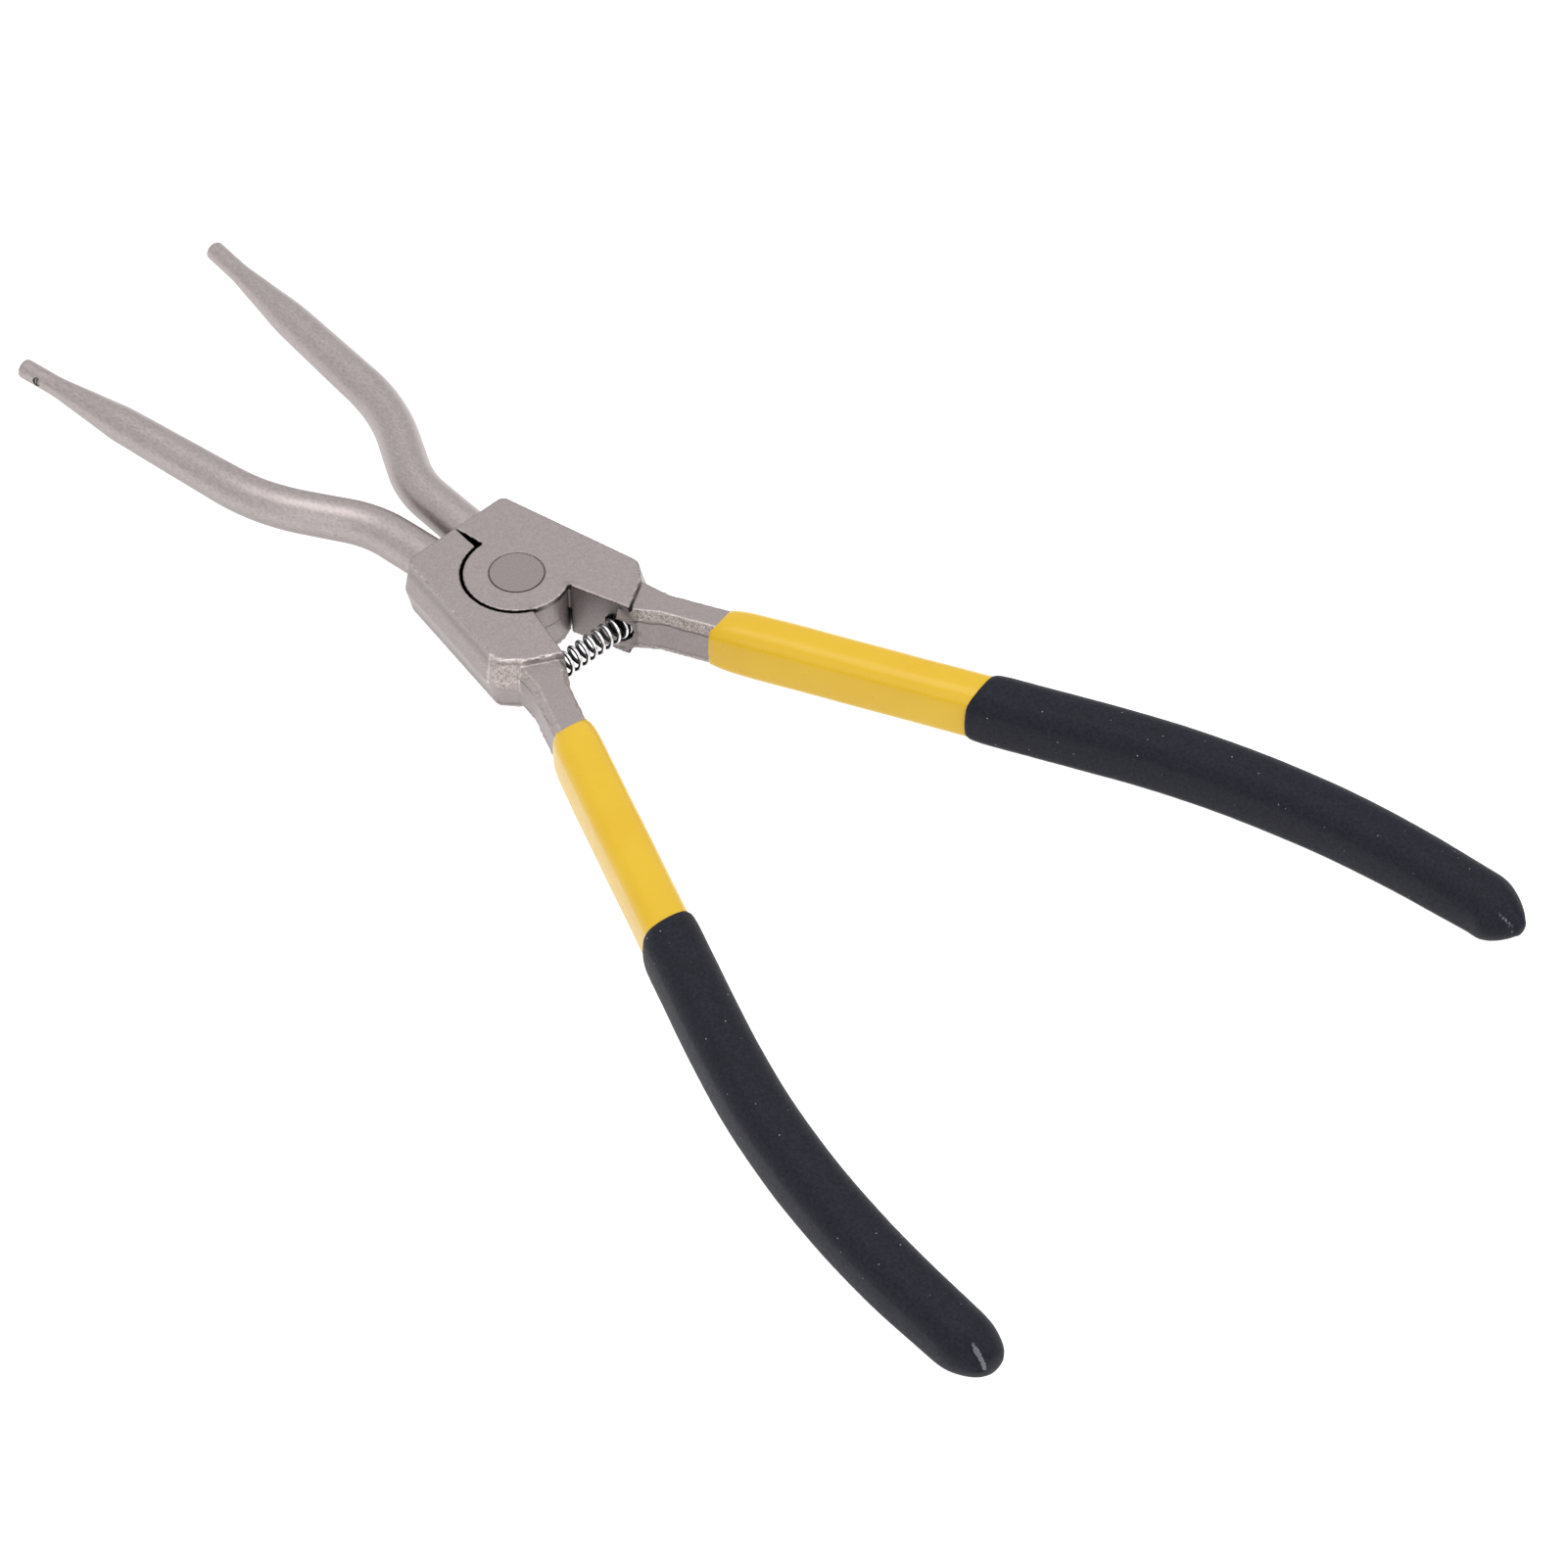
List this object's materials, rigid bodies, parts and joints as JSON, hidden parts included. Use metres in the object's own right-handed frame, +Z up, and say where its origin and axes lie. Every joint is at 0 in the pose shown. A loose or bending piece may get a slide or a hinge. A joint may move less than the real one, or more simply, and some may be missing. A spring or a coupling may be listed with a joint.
{
  "type": "spreading pliers",
  "caption": "Long-nose spreading pliers: lap-jointed forged head, bent round jaw rods with socketed tips, return spring and dipped handles.",
  "frame": {"origin": "where the pivot axis meets the flat underside of the head", "axes": "+X along the symmetry axis towards the jaws, +Y towards the left handle, +Z up along the pivot axis"},
  "size_m": [0.2941, 0.1438, 0.013],
  "materials": {
    "satin_forging": "satin nickel plate over a drop forging",
    "satin_rod": "satin nickel plate over turned and bent bar",
    "rivet_steel": "ground flush, satin",
    "spring_wire": "bright zinc plated spring wire",
    "screw_steel": "blackened grub screw",
    "yellow_dip": "glossy yellow vinyl dip",
    "black_dip": "matte fine-textured black vinyl dip"
  },
  "bodies": {
    "right_half": {"right_lever": "satin_forging", "right_jaw_rod": "satin_rod", "right_tip_screw": "screw_steel", "right_yellow_sleeve": "yellow_dip", "right_black_grip": "black_dip", "pivot_rivet": "rivet_steel", "return_spring": "spring_wire"},
    "left_half": {"left_lever": "satin_forging", "left_jaw_rod": "satin_rod", "left_tip_screw": "screw_steel", "left_yellow_sleeve": "yellow_dip", "left_black_grip": "black_dip"}
  },
  "joints": [
    {"name": "squeeze", "type": "hinge", "parent": "right_half", "child": "left_half", "pos_m": [0, 0, 0.006], "axis": [0, 0, 1], "range_deg": [0, 28], "stiffness_Nm_per_rad": 2, "springref_deg": -8.59, "deforming": ["return_spring"]}
  ]
}
